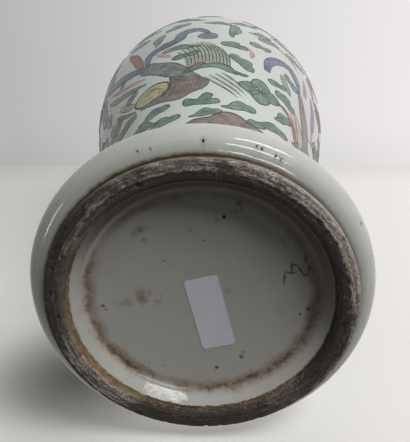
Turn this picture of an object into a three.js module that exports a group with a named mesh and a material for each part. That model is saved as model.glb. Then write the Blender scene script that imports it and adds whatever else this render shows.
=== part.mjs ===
// Famille verte baluster vase of porcelain, standing upright. Millimetres.
// The origin is the centre of the foot ring's resting face, and +Z runs up the axis to the mouth.
// The vase is thrown in sections that are joined with slip, turned, glazed and enamelled.

import * as THREE from 'three';

// Foot: an unglazed ring, a groove above it, and a glazed round moulding that stands out over both.
const FOOT_RADIUS = 66.5;
const FOOT_EDGE_BEVEL = 1;
const RESTING_WIDTH = 6.2;
const RING_HEIGHT = 5;
const GROOVE_RADIUS = 0.8;
const MOULDING_HEIGHT = 20;
const MOULDING_PROJECTION = 9.4;

// Underside: a bevel inside the ring, then a glazed wall up to the sunk base.
const INNER_BEVEL_WIDTH = 2.3;
const INNER_BEVEL_HEIGHT = 3.6;
const RECESS_DEPTH = 10;
const RECESS_WALL_LEAN = 5;
const LEDGE_LIP = 1;

// Base slab, let into the foot from above and carried by a ledge.
const SLAB_THICKNESS = 8;
const LEDGE_WIDTH = 4;
const SLAB_CLEARANCE = 0.3;
const SLAB_EDGE_BEVEL = 1;

// Wall of the vase, measured square to its surface.
const WALL = 5.5;

// Outline above the foot. Each height is measured from the end of the one before.
const COVE_SETBACK = 1.5;
const COVE_HEIGHT = 33;
const WAIST_RADIUS = 52;
const BODY_HEIGHT = 210;
const BELLY_RADIUS = 92;
const SHOULDER_HEIGHT = 90;
const NECK_RADIUS = 37.5;
const NECK_HEIGHT = 63;
const MOUTH_RADIUS = 56;

// Shape of the outline's curves: how far each end keeps its direction, as a share of the height.
const COVE_SWEEP = { start: 0.2, end: 0.45 };
const BODY_SWEEP = { start: 0.28, end: 0.3 };
const SHOULDER_SWEEP = { start: 0.72, end: 0.32 };
const NECK_SWEEP = { start: 0.42, end: 0.16 };
const COVE_LEAN_DEGREES = 40;
const MOUTH_FLARE_DEGREES = 48;

// Joints between the thrown sections. A bead of slip stands proud inside, and is trimmed outside.
// One is above the waist, one under the widest place, and one under the narrowest of the neck.
const SLIP_THICKNESS = 1.2;
const SLIP_BEAD = 1.6;
const MIDDLE_JOINT_RISE = 90;
const BELLY_JOINT_DROP = 7;
const NECK_JOINT_DROP = 14;

// Collector's paper label, stuck to the base. It is turned from +Y towards +X, in degrees.
const LABEL_WIDTH = 15;
const LABEL_LENGTH = 37;
const LABEL_THICKNESS = 0.15;
const LABEL_CORNER_RADIUS = 1.2;
const LABEL_X = 3.5;
const LABEL_Y = 8.4;
const LABEL_TURN_DEGREES = 12.8;

// Fineness of the solids.
const FACETS = 60;
const OUTLINE_SAMPLES = 400;
const MOULDING_STEPS = 14;
const GROOVE_STEPS = 4;
const RIM_STEPS = 5;
const LABEL_CORNER_STEPS = 3;
const LOWER_BODY_LEVELS = { outer: 11, inner: 7 };
const UPPER_BODY_LEVELS = { outer: 8, inner: 5 };
const SHOULDER_LEVELS = { outer: 11, inner: 8 };
const NECK_LEVELS = { outer: 11, inner: 8 };

// Radii and heights that follow from the sizes above.
const mouldingTop = RING_HEIGHT + MOULDING_HEIGHT;
const restingOuterRadius = FOOT_RADIUS - FOOT_EDGE_BEVEL;
const restingInnerRadius = restingOuterRadius - RESTING_WIDTH;
const recessMouthRadius = restingInnerRadius - INNER_BEVEL_WIDTH;
const recessRadius = recessMouthRadius - RECESS_WALL_LEAN;
const slabRadius = recessRadius + LEDGE_WIDTH;
const footBoreRadius = slabRadius + SLAB_CLEARANCE;
const coveRadius = FOOT_RADIUS - COVE_SETBACK;
const coveBottom = mouldingTop + SLIP_THICKNESS;
const waistLevel = coveBottom + COVE_HEIGHT;
const bellyLevel = waistLevel + BODY_HEIGHT;
const neckLevel = bellyLevel + SHOULDER_HEIGHT;
const mouthLevel = neckLevel + NECK_HEIGHT;
const middleJoint = waistLevel + MIDDLE_JOINT_RISE;
const bellyJoint = bellyLevel - BELLY_JOINT_DROP;
const neckJoint = neckLevel - NECK_JOINT_DROP;
const degrees = Math.PI / 180;

// A point of a section: radius from the axis, and height.
const at = (radius, height) => new THREE.Vector2(radius, height);

// One smooth stretch of the outline. A lean of 0 at an end is upright, and positive leans outwards.
function stretch(from, to, sweep, startLean = 0, endLean = 0) {
  const height = to.y - from.y;
  const lean = (degree) => at(Math.sin(degree * degrees), Math.cos(degree * degrees));
  const leave = lean(startLean).multiplyScalar(sweep.start * height).add(from);
  const arrive = lean(endLean).multiplyScalar(-sweep.end * height).add(to);
  return new THREE.CubicBezierCurve(from, leave, arrive, to);
}

function outlineAboveFoot() {
  const cove = at(coveRadius, coveBottom);
  const waist = at(WAIST_RADIUS, waistLevel);
  const belly = at(BELLY_RADIUS, bellyLevel);
  const neck = at(NECK_RADIUS, neckLevel);
  const mouth = at(MOUTH_RADIUS, mouthLevel);
  return [
    stretch(cove, waist, COVE_SWEEP, -COVE_LEAN_DEGREES, 0),
    stretch(waist, belly, BODY_SWEEP),
    stretch(belly, neck, SHOULDER_SWEEP),
    stretch(neck, mouth, NECK_SWEEP, 0, MOUTH_FLARE_DEGREES),
  ];
}

// Points of the outline, moved inwards and square to it by the given distance.
function offsetOutline(distance) {
  const points = [];
  for (const curve of outlineAboveFoot()) {
    for (let step = points.length ? 1 : 0; step <= OUTLINE_SAMPLES; step += 1) {
      const along = curve.getTangent(step / OUTLINE_SAMPLES);
      const inwards = at(-along.y, along.x);
      points.push(curve.getPoint(step / OUTLINE_SAMPLES).addScaledVector(inwards, distance));
    }
  }
  return points;
}

const outerOutline = offsetOutline(0);
const innerOutline = offsetOutline(WALL);

// Where an outline crosses a height.
function crossing(outline, height) {
  const after = outline.findIndex((point) => point.y >= height);
  if (after < 1) {
    return at(outline[0].x, height);
  }
  const [low, high] = [outline[after - 1], outline[after]];
  return low.clone().lerp(high, (height - low.y) / (high.y - low.y));
}

// Evenly spaced crossings of an outline, from the bottom up.
function climb(outline, bottom, top, levels) {
  return Array.from({ length: levels }, (_, index) =>
    crossing(outline, bottom + ((top - bottom) * index) / (levels - 1)));
}

// Points of an elliptical arc in the section, angles in degrees from the outward direction.
function arc(centre, radiusOut, radiusUp, startAngle, endAngle, steps) {
  return Array.from({ length: steps + 1 }, (_, index) => {
    const angle = (startAngle + ((endAngle - startAngle) * index) / steps) * degrees;
    return at(centre.x + radiusOut * Math.cos(angle), centre.y + radiusUp * Math.sin(angle));
  });
}

// Turns a section about the vase's axis. The section runs up its outside and down its inside.
function turn(section) {
  const closesOnAxis = section[0].x === 0;
  const points = closesOnAxis ? section : [...section, section[0].clone()];
  return new THREE.LatheGeometry(points, FACETS).rotateX(Math.PI / 2);
}

// Foot ring with its groove and moulding. The base slab sits on the ledge inside it.
function footGeometry() {
  const grooveCentre = at(FOOT_RADIUS, RING_HEIGHT - GROOVE_RADIUS);
  const mouldingCentre = at(FOOT_RADIUS, RING_HEIGHT + MOULDING_HEIGHT / 2);
  const groove = arc(grooveCentre, GROOVE_RADIUS, GROOVE_RADIUS, 270, 90, GROOVE_STEPS);
  const moulding = arc(
    mouldingCentre, MOULDING_PROJECTION, MOULDING_HEIGHT / 2, -90, 90, MOULDING_STEPS);
  return turn([
    at(restingInnerRadius, 0),
    at(restingOuterRadius, 0),
    at(FOOT_RADIUS, FOOT_EDGE_BEVEL),
    ...groove,
    ...moulding.slice(1),
    at(footBoreRadius, mouldingTop),
    at(footBoreRadius, RECESS_DEPTH),
    at(recessRadius, RECESS_DEPTH),
    at(recessRadius, RECESS_DEPTH - LEDGE_LIP),
    at(recessMouthRadius, INNER_BEVEL_HEIGHT),
  ]);
}

function slabGeometry() {
  const top = RECESS_DEPTH + SLAB_THICKNESS;
  return turn([
    at(0, RECESS_DEPTH),
    at(slabRadius, RECESS_DEPTH),
    at(slabRadius, top - SLAB_EDGE_BEVEL),
    at(slabRadius - SLAB_EDGE_BEVEL, top),
    at(0, top),
  ]);
}

// A thrown section of the wall, cut level at both ends.
function wallGeometry(bottom, top, levels) {
  const outside = climb(outerOutline, bottom, top, levels.outer);
  const inside = climb(innerOutline, bottom, top, levels.inner).reverse();
  return turn([...outside, ...inside]);
}

// The neck runs up to the mouth, where the rim is a half round from wall to wall.
function neckGeometry(bottom) {
  const rimOuter = outerOutline.at(-1);
  const rimInner = innerOutline.at(-1);
  const rimCentre = rimOuter.clone().lerp(rimInner, 0.5);
  const startAngle = -MOUTH_FLARE_DEGREES;
  const rim = arc(rimCentre, WALL / 2, WALL / 2, startAngle, startAngle + 180, RIM_STEPS);
  const outside = climb(outerOutline, bottom, rimOuter.y, NECK_LEVELS.outer);
  const inside = climb(innerOutline, bottom, rimInner.y, NECK_LEVELS.inner).reverse();
  return turn([...outside, ...rim.slice(1, -1), ...inside]);
}

// The slip of one joint, flush with the wall outside, with its bead inside.
function slipGeometry(bottom) {
  const top = bottom + SLIP_THICKNESS;
  const bead = crossing(innerOutline, (bottom + top) / 2);
  return turn([
    crossing(outerOutline, bottom),
    crossing(outerOutline, top),
    crossing(innerOutline, top),
    at(bead.x - SLIP_BEAD, bead.y),
    crossing(innerOutline, bottom),
  ]);
}

function labelGeometry() {
  const [halfWidth, halfLength] = [LABEL_WIDTH / 2, LABEL_LENGTH / 2];
  const [cornerX, cornerY] = [halfWidth - LABEL_CORNER_RADIUS, halfLength - LABEL_CORNER_RADIUS];
  const outline = new THREE.Shape();
  [[cornerX, cornerY], [-cornerX, cornerY], [-cornerX, -cornerY], [cornerX, -cornerY]].forEach(
    ([x, y], quarter) => outline.absarc(x, y, LABEL_CORNER_RADIUS, quarter * 90 * degrees,
      (quarter + 1) * 90 * degrees));
  outline.closePath();
  return new THREE.ExtrudeGeometry(outline, {
    depth: LABEL_THICKNESS,
    bevelEnabled: false,
    curveSegments: LABEL_CORNER_STEPS,
  });
}

const materials = {
  glaze: new THREE.MeshStandardMaterial({ color: 0xcfd6cf, roughness: 0.15, metalness: 0 }),
  enamelled: new THREE.MeshStandardMaterial({ color: 0xd6ddd6, roughness: 0.2, metalness: 0 }),
  biscuit: new THREE.MeshStandardMaterial({ color: 0x8a7a6c, roughness: 0.85, metalness: 0 }),
  slip: new THREE.MeshStandardMaterial({ color: 0xe2ded4, roughness: 0.6, metalness: 0 }),
  paper: new THREE.MeshStandardMaterial({ color: 0xdcdce2, roughness: 0.9, metalness: 0 }),
};

const vase = new THREE.Group();

function addPiece(name, geometry, material) {
  const piece = new THREE.Mesh(geometry, material);
  piece.name = name;
  vase.add(piece);
  return piece;
}

// Each joint's slip starts at the level given, and the next section stands on it.
addPiece('foot_ring', footGeometry(), materials.biscuit);
addPiece('base_slab', slabGeometry(), materials.glaze);
addPiece('foot_joint_slip', slipGeometry(mouldingTop), materials.slip);
addPiece('lower_body', wallGeometry(coveBottom, middleJoint, LOWER_BODY_LEVELS), materials.enamelled);
addPiece('middle_joint_slip', slipGeometry(middleJoint), materials.slip);
addPiece(
  'upper_body',
  wallGeometry(middleJoint + SLIP_THICKNESS, bellyJoint, UPPER_BODY_LEVELS),
  materials.enamelled,
);
addPiece('belly_joint_slip', slipGeometry(bellyJoint), materials.slip);
addPiece(
  'shoulder',
  wallGeometry(bellyJoint + SLIP_THICKNESS, neckJoint, SHOULDER_LEVELS),
  materials.enamelled,
);
addPiece('neck_joint_slip', slipGeometry(neckJoint), materials.slip);
addPiece('neck', neckGeometry(neckJoint + SLIP_THICKNESS), materials.enamelled);

const label = addPiece('paper_label', labelGeometry(), materials.paper);
label.position.set(LABEL_X, LABEL_Y, RECESS_DEPTH - LABEL_THICKNESS);
label.rotation.z = -LABEL_TURN_DEGREES * degrees;

export default vase;
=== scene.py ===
"""A famille verte baluster vase, seen as it lies on its side with its foot towards the camera."""

import random
from bisect import bisect_right
from math import ceil, cos, degrees, hypot, pi, radians, sin

import bpy
from mathutils import Matrix, Vector, geometry, noise


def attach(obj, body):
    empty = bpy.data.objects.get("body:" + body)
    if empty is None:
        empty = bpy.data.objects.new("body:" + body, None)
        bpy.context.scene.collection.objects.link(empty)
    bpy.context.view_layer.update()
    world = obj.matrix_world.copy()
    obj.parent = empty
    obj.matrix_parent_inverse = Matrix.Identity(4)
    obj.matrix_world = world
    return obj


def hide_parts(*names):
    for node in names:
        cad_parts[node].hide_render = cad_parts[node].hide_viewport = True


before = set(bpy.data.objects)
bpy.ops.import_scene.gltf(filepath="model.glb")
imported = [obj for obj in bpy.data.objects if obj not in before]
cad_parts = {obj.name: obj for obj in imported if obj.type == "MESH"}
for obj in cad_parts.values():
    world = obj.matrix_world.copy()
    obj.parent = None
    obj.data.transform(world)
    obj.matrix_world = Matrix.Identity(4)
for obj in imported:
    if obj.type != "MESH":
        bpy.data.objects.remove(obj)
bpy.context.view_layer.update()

MM = 0.001
SEED = 1700

# The vase, in millimetres: the same sizes as the solids have.
FOOT_RADIUS = 66.5
FOOT_EDGE_BEVEL = 1.0
RESTING_WIDTH = 6.2
RING_HEIGHT = 5.0
GROOVE_RADIUS = 0.8
MOULDING_HEIGHT = 20.0
MOULDING_PROJECTION = 9.4
INNER_BEVEL_WIDTH = 2.3
INNER_BEVEL_HEIGHT = 3.6
RECESS_DEPTH = 10.0
RECESS_WALL_LEAN = 5.0
SLAB_THICKNESS = 8.0
WALL = 5.5
COVE_SETBACK = 1.5
COVE_HEIGHT = 33.0
WAIST_RADIUS = 52.0
BODY_HEIGHT = 210.0
BELLY_RADIUS = 92.0
SHOULDER_HEIGHT = 90.0
NECK_RADIUS = 37.5
NECK_HEIGHT = 63.0
MOUTH_RADIUS = 56.0
COVE_SWEEP = (0.2, 0.45)
BODY_SWEEP = (0.28, 0.3)
SHOULDER_SWEEP = (0.72, 0.32)
NECK_SWEEP = (0.42, 0.16)
COVE_LEAN = -40.0
MOUTH_FLARE = 48.0
SLIP_THICKNESS = 1.2
LABEL_WIDTH = 15.0
LABEL_HEIGHT = 37.0
LABEL_THICKNESS = 0.15
LABEL_CORNER = 1.2
LABEL_PLACE = (3.5, 8.4)
LABEL_TURN = 12.8

REST_OUT = FOOT_RADIUS - FOOT_EDGE_BEVEL
REST_IN = REST_OUT - RESTING_WIDTH
BEVEL_IN = REST_IN - INNER_BEVEL_WIDTH
SUNK_RADIUS = BEVEL_IN - RECESS_WALL_LEAN
FOOT_TOP = RING_HEIGHT + MOULDING_HEIGHT
WAIST_Z = FOOT_TOP + SLIP_THICKNESS + COVE_HEIGHT
BELLY_Z = WAIST_Z + BODY_HEIGHT
NECK_Z = BELLY_Z + SHOULDER_HEIGHT
MOUTH_Z = NECK_Z + NECK_HEIGHT

TURN_STEPS = 216
FOOT_STEPS = 480
CURVE_STEPS = {"cove": 18, "body": 80, "shoulder": 44, "neck": 34}

# The camera, in millimetres in the vase's frame: it looks up the vase from below its foot.
CAMERA_PLACE = Vector((7.262, -132.907, -192.16))
CAMERA_TARGET = Vector((2.03, -41.55, 0.0))
CAMERA_UP = Vector((0.0, -0.90312, 0.42939))
FOCAL_PIXELS = 550.0
PHOTO_LONG_SIDE = 442.0
SENSOR = 36.0


def colour(red, green, blue):
    """A colour given as it is seen, 0 to 255, as the shader's linear value."""
    parts = []
    for part in (red, green, blue):
        part /= 255.0
        parts.append(part / 12.92 if part <= 0.04045 else ((part + 0.055) / 1.055) ** 2.4)
    return (*parts, 1.0)


# The outline


def run(corners, steps):
    """Points from the first corner to the last: straight, or curved towards any between them."""
    points = []
    for i in range(steps + 1):
        row = corners
        while len(row) > 1:
            row = [tuple(p + (q - p) * i / steps for p, q in zip(a, b)) for a, b in zip(row, row[1:])]
        points.append(row[0])
    return points


def stretch(start, end, sweep, start_lean, end_lean, steps):
    """Points of one curve of the outline; the leans are from upright, outwards positive."""
    height = end[1] - start[1]
    handles = []
    for point, reach, lean in ((start, sweep[0] * height, start_lean), (end, -sweep[1] * height, end_lean)):
        handles.append((point[0] + reach * sin(radians(lean)), point[1] + reach * cos(radians(lean))))
    return run((start, *handles, end), steps)


def arc(centre, radius, height, start, end, steps):
    """Points of part of an ellipse in the section; angles in degrees from outwards."""
    points = []
    for i in range(steps + 1):
        angle = radians(start + (end - start) * i / steps)
        points.append((centre[0] + radius * cos(angle), centre[1] + height * sin(angle)))
    return points


def outline():
    """The outside of the vase above the foot, from the cove to the mouth."""
    foot = (FOOT_RADIUS - COVE_SETBACK, FOOT_TOP + SLIP_THICKNESS)
    waist = (WAIST_RADIUS, WAIST_Z)
    belly = (BELLY_RADIUS, BELLY_Z)
    neck = (NECK_RADIUS, NECK_Z)
    mouth = (MOUTH_RADIUS, MOUTH_Z)
    points = stretch(foot, waist, COVE_SWEEP, COVE_LEAN, 0, CURVE_STEPS["cove"])
    points += stretch(waist, belly, BODY_SWEEP, 0, 0, CURVE_STEPS["body"])[1:]
    points += stretch(belly, neck, SHOULDER_SWEEP, 0, 0, CURVE_STEPS["shoulder"])[1:]
    points += stretch(neck, mouth, NECK_SWEEP, 0, MOUTH_FLARE, CURVE_STEPS["neck"])[1:]
    return points


def square_to(points, i):
    """The unit direction outwards from the outline at point i, square to it."""
    a = points[max(i - 1, 0)]
    b = points[min(i + 1, len(points) - 1)]
    length = hypot(b[0] - a[0], b[1] - a[1])
    return ((b[1] - a[1]) / length, (a[0] - b[0]) / length)


OUTLINE = outline()
HEIGHTS = [z for radius, z in OUTLINE]


def glaze_at(angle, z, lift=0.0):
    """A point on the outside glaze, in millimetres. The angle is in degrees from -Y towards +X."""
    z = min(max(z, HEIGHTS[0]), HEIGHTS[-1])
    low = min(bisect_right(HEIGHTS, z), len(OUTLINE) - 1) - 1
    a, b = OUTLINE[low], OUTLINE[low + 1]
    share = (z - a[1]) / (b[1] - a[1])
    na, nb = square_to(OUTLINE, low), square_to(OUTLINE, low + 1)
    out = (na[0] + (nb[0] - na[0]) * share, na[1] + (nb[1] - na[1]) * share)
    radius = a[0] + (b[0] - a[0]) * share + lift * out[0]
    return (radius * sin(radians(angle)), -radius * cos(radians(angle)), z + lift * out[1])


def radius_at(z):
    """The radius of the outside at a height."""
    x, y, _ = glaze_at(0, z)
    return hypot(x, y)


def degree_at(z):
    """The millimetres in one degree round the outside, at a height."""
    return radians(1) * radius_at(z)


# Meshes


def mesh_piece(name, points, faces, material, smooth_angle=35.0):
    """A new object from points in millimetres and faces."""
    mesh = bpy.data.meshes.new(name)
    mesh.from_pydata([tuple(c * MM for c in p) for p in points], [], faces)
    mesh.validate()
    mesh.update()
    mesh.materials.append(material)
    mesh.polygons.foreach_set("use_smooth", [True] * len(mesh.polygons))
    mesh.set_sharp_from_angle(angle=radians(smooth_angle))
    piece = bpy.data.objects.new(name, mesh)
    bpy.context.scene.collection.objects.link(piece)
    return piece


def lathe(name, section, material, steps=TURN_STEPS, worn=None):
    """A closed section turned about the axis. worn moves a point of the section at an angle."""
    points, faces, rings = [], [], []
    for radius, z in section:
        count = steps if radius else 1
        rings.append([len(points) + k % count for k in range(steps + 1)])
        for k in range(count):
            turn = 2 * pi * k / steps
            r, h = worn(radius, z, turn) if worn else (radius, z)
            points.append((r * cos(turn), r * sin(turn), h))
    closed = all(radius for radius, z in section)
    for low, high in zip(rings, rings[1:] + rings[:1] if closed else rings[1:]):
        for k in range(steps):
            corners = (low[k], low[k + 1], high[k + 1], high[k])
            faces.append(list(dict.fromkeys(corners)))
    return mesh_piece(name, points, faces, material)


def own(piece, slot, *nodes):
    """The piece belongs to the vase and stands for those nodes, which it hides; the slot is not used."""
    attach(piece, "root")
    if nodes:
        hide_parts(*nodes)
    return piece


# Materials


class Value:
    """What a node gives out. Sums of values add the nodes that work them out."""

    def __init__(self, nodes, socket):
        self.nodes, self.socket = nodes, socket

    def __add__(self, other):
        return self.nodes.calc("ADD", self, other)

    def __sub__(self, other):
        return self.nodes.calc("SUBTRACT", self, other)

    def __rsub__(self, other):
        return self.nodes.calc("SUBTRACT", other, self)

    def __mul__(self, other):
        return self.nodes.calc("MULTIPLY", self, other)


class Nodes:
    """A node tree. Its methods add nodes and give back their outputs as values."""

    def __init__(self, tree):
        self.tree = tree

    def feed(self, socket, value):
        """Links a value to a socket or sets the socket; None leaves it as it is."""
        if isinstance(value, Value):
            self.tree.links.new(value.socket, socket)
        elif value is not None:
            socket.default_value = value

    def fill(self, node, *inputs, **named):
        """Feeds a node's first inputs in order. A name with a capital is an input, others are settings."""
        for name, value in named.items():
            if name[0].isupper():
                self.feed(node.inputs[name.replace("_", " ")], value)
            else:
                setattr(node, name, value)
        for socket, value in zip(node.inputs, inputs):
            self.feed(socket, value)
        return node

    def node(self, kind, *inputs, **named):
        """A new node of that kind, fed in the same way."""
        return self.fill(self.tree.nodes.new("ShaderNode" + kind), *inputs, **named)

    def add(self, kind, *inputs, out=0, **named):
        """An output of a new node, as a value."""
        return Value(self, self.node(kind, *inputs, **named).outputs[out])

    def calc(self, operation, *values):
        return self.add("Math", *values, operation=operation)

    def split(self, vector):
        return [Value(self, part) for part in self.node("SeparateXYZ", vector).outputs]

    def scaled(self, vector, scale):
        return self.add("VectorMath", vector, operation="SCALE", Scale=scale)

    def rise(self, value, low, high, to_low=0.0, to_high=1.0, kind="SMOOTHSTEP"):
        """A step of the value from low to high, smooth or straight."""
        return self.add("MapRange", value, low, high, to_low, to_high, interpolation_type=kind)

    def mix(self, share, a, b):
        """Colour a where the share is nothing, b where it is one. Shades can be given as they are seen."""
        unused = (None,) * 5
        a, b = (colour(*shade) if isinstance(shade, tuple) else shade for shade in (a, b))
        return self.add("Mix", share, *unused, a, b, out=2, data_type="RGBA")

    def most(self, value, *others):
        """The largest of several values."""
        for other in others:
            value = self.calc("MAXIMUM", value, other)
        return value

    def ramp(self, value, low, high, left, right):
        """A colour that goes straight from left to right as the value goes from low to high."""
        node = self.node("ValToRGB", self.rise(value, low, high, kind="LINEAR"))
        for element, shade in zip(node.color_ramp.elements, (left, right)):
            element.color = shade
        return Value(self, node.outputs[0])


class Finish(Nodes):
    """A procedural material, with places in millimetres."""

    def __init__(self, name, **values):
        self.material = bpy.data.materials.new(name)
        self.material.use_nodes = True
        super().__init__(self.material.node_tree)
        self.shader = self.fill(self.tree.nodes["Principled BSDF"], **values)
        self.mm = self.scaled(self.add("TexCoord", out="Object"), 1 / MM)
        self.x, self.y, self.z = self.split(self.mm)
        self.radius = self.add("VectorMath", self.flat(self.x, self.y), out="Value", operation="LENGTH")
        self.turn = self.calc("ARCTAN2", self.x, self.y * -1.0)

    def flat(self, u, v, w=None):
        """A vector of three values, for patterns that run along the surface."""
        return self.add("CombineXYZ", u, v, w)

    def noise(self, scale, detail=2.0, roughness=0.5, vector=None, distortion=0.0):
        """Noise with about that many waves in a millimetre."""
        return self.add("TexNoise", noise_dimensions="3D", Vector=vector or self.mm, Scale=scale,
                        Detail=detail, Roughness=roughness, Distortion=distortion)

    def specks(self, scale, size, soft):
        """One inside small specks that are scattered that densely."""
        gap = self.add("TexVoronoi", voronoi_dimensions="3D", Vector=self.mm, Scale=scale, out="Distance")
        return self.rise(gap, size, soft)

    def between(self, value, low, high, soft):
        """One between low and high, and nothing outside them."""
        return self.rise(value, low - soft, low + soft) * self.rise(value, high + soft, high - soft)

    def towards(self, angle, reach, soft):
        """One within that many degrees of a direction round the axis, from -Y towards +X."""
        turned = self.calc("COSINE", self.turn - radians(angle))
        return self.rise(turned, cos(radians(reach + soft)), cos(radians(max(reach - soft, 1.0))))

    def far(self, u, v):
        return self.calc("SQRT", u * u + v * v)

    def spot(self, x, y, size, soft, ragged=0.7, waves=0.6, squeeze=1.0, lean=0.0):
        """A round or oval mark on the base: one inside it. The size is its radius."""
        dx, dy = self.x - x, self.y - y
        c, s = cos(radians(lean)), sin(radians(lean))
        reach = self.far((dx * c + dy * s) * (1 / squeeze), dy * c - dx * s)
        rough = (self.noise(waves, 3.0) - 0.5) * (size * ragged * 2)
        return self.rise(reach + rough, size + soft, size - soft)

    def pit(self, angle, z, size):
        """One inside a small round pit on the moulding."""
        aside = (self.turn - radians(angle)) * PITTED_RADIUS
        return self.rise(self.far(aside, self.z - z), size * 1.3, size * 0.7)

    def bump(self, height, distance, normal=None):
        """Relief of that many millimetres for a height of one."""
        return self.add("Bump", Strength=1.0, Distance=distance * MM, Height=height, Normal=normal)

    def finish(self, base, roughness=None, normal=None):
        self.fill(self.shader, Base_Color=base, Roughness=roughness, Normal=normal)
        return self.material


def body_glaze():
    """Clear glaze over the white body: faintly green, with soft turning lines and pinholes."""
    m = Finish("body_glaze", IOR=1.5)
    base = m.mix(m.noise(0.018, 3.0), (208, 219, 212), (221, 227, 221))
    base = m.mix(m.specks(0.16, 0.05, 0.02) * 0.55, base, (92, 84, 70))
    turned = m.noise(0.5, 2.0, vector=m.flat(m.turn, 0.0, m.z))
    normal = m.bump(turned, 0.05, m.bump(m.noise(0.35, 2.0), 0.04))
    return m.finish(base, m.rise(m.noise(0.05, 2.0), 0.2, 0.8, 0.10, 0.2), normal)


def sunk_glaze(m):
    """The glaze of the sunk base and wall, stained brown between them, with grime and painted shade on the
    wall's top and a painted highlight along the wall's edge: its colour, and a mask of its soil and painted
    shade.
    """
    base = m.mix(m.noise(0.03, 3.0), (188, 187, 179), (203, 202, 194))
    ragged = (m.noise(0.11, 5.0, 0.62) - 0.5) * 7.0
    fine = (m.noise(0.7, 4.0, 0.7) - 0.5) * 3.0
    edge = m.radius + (ragged + fine)
    amount = m.most(
        m.towards(228, 20, 14), m.towards(181, 16, 12) * 0.85, m.towards(142, 32, 14) * 0.9,
        m.towards(80, 34, 14) * 0.9, m.towards(266, 26, 16) * 0.8, m.towards(14, 56, 20) * 0.5, 0.3)
    broken = m.rise(m.noise(0.14, 6.0, 0.72), 0.36, 0.6)
    line = m.between(edge, 48.9, 51.2, 0.9) * (amount * broken)
    haze = m.between(edge, 46.8, 52.2, 1.7) * (amount * 0.62)
    base = m.mix(haze, base, (142, 114, 80))
    base = m.mix(line * 0.9, base, (94, 70, 44))
    stained = m.rise(m.radius + ragged * 0.5, 46.0, 50.5)
    grime = stained * m.most(m.towards(50, 50, 22) * 0.86, m.towards(16, 58, 22) * 0.78)
    base = m.mix(grime, base, (72, 54, 46))
    wall = m.rise(m.radius, 51.6, 53.4)
    # Grime and painted shade: the wall is darker at the top, where it faces away from the light, and a
    # little at the left.
    wall_grime_and_shade = wall * m.most(m.towards(2, 62, 24) * 0.9, m.towards(266, 28, 16) * 0.2)
    base = m.mix(wall_grime_and_shade, base, (66, 48, 40))
    # A painted highlight: a thin pale line along the wall's outer edge, where the glaze edge catches the
    # light, all round but the lower left.
    painted_edge_highlight = m.between(m.radius, 56.2, 56.8, 0.25) * m.towards(20, 120, 20)
    base = m.mix(painted_edge_highlight * 0.55, base, (150, 136, 124))
    return base, m.most(grime, wall_grime_and_shade)


def bare_clay(m, ragged, grit, streaks):
    """The unglazed ring: light where it is rubbed clean, black where grime has stayed."""
    broad = m.noise(0.12, 4.0, 0.65)
    ridges = m.noise(1.6, 3.0, 0.6, m.flat(m.radius * 0.9, m.turn * 4.0, m.z))
    patches = m.noise(0.3, 6.0, 0.68, m.flat(m.radius, m.turn * 44.0, m.z), 0.6)
    clay = m.mix(m.rise(grit, 0.4, 0.6), (122, 110, 102), (218, 209, 196))
    clay = m.mix(m.rise(patches, 0.48, 0.64) * 0.4, clay, (92, 81, 75))
    clay = m.mix(m.rise(ridges, 0.52, 0.66) * 0.4, clay, (84, 74, 68))
    clay = m.mix(m.towards(60, 22, 14) * 0.3, clay, (226, 217, 203))
    bevel = m.rise(m.radius + ragged, 58.9, 58.3)
    ochre = m.mix(m.rise(streaks, 0.4, 0.6), (118, 98, 66), (154, 134, 98))
    clay = m.mix(bevel * m.towards(212, 76, 24), clay, ochre)

    clean = m.most(
        m.towards(52, 34, 22), m.rise(m.radius, 64.0, 65.2) * m.towards(96, 30, 14) * 0.7,
        m.towards(345, 46, 18) * 0.55, m.towards(232, 28, 16) * 0.64, m.towards(134, 14, 14) * 0.5,
        m.rise(m.radius, 64.0, 62.0) * m.towards(318, 22, 14) * 0.5, 0.25)
    kept = m.most(
        1.0 - clean, m.rise(m.radius + ragged * 3.0, 63.2, 61.2) * m.towards(44, 92, 26),
        m.rise(m.radius, 63.6, 65.6) * m.towards(236, 96, 30) * 0.9,
        m.rise(m.radius, 65.0, 63.8) * m.towards(112, 20, 16) * 0.85, m.towards(184, 26, 16) * 0.92,
        m.rise(m.radius, 61.6, 63.0) * m.towards(284, 34, 14) * 0.95)
    uneven = (grit - 0.5) * 1.8 + (patches - 0.5) * (m.towards(48, 40, 24) * 1.4 + 0.5)
    uneven = uneven + (streaks - 0.5) * 0.8 + (broad - 0.5) + (ridges - 0.5)
    uneven = uneven - bevel * m.towards(216, 66, 20) * 0.34
    deep = m.rise(kept + uneven * 0.7, 0.5, 1.0)
    grime = m.mix(deep, (70, 58, 51), (26, 21, 18))
    rubbed = m.rise(m.radius, 61.6, 60.0) * m.towards(292, 44, 18)
    grime = m.mix(rubbed * 0.55, grime, (104, 87, 78))
    strewn = m.most(m.rise(broad, 0.46, 0.6) * 0.85, rubbed * 0.8, 0.16)
    specks = m.noise(1.9, 3.0, 0.75, m.flat(m.radius, m.turn * 34.0, m.z))
    grime = m.mix(m.rise(specks, 0.53, 0.61) * strewn, grime, (116, 103, 90))
    grime = m.mix(m.rise(specks, 0.46, 0.38) * 0.7, grime, (20, 16, 14))
    return m.mix(m.rise(m.most(kept, 0.1) + uneven, 0.3, 0.66) * 0.94, clay, grime)


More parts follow.
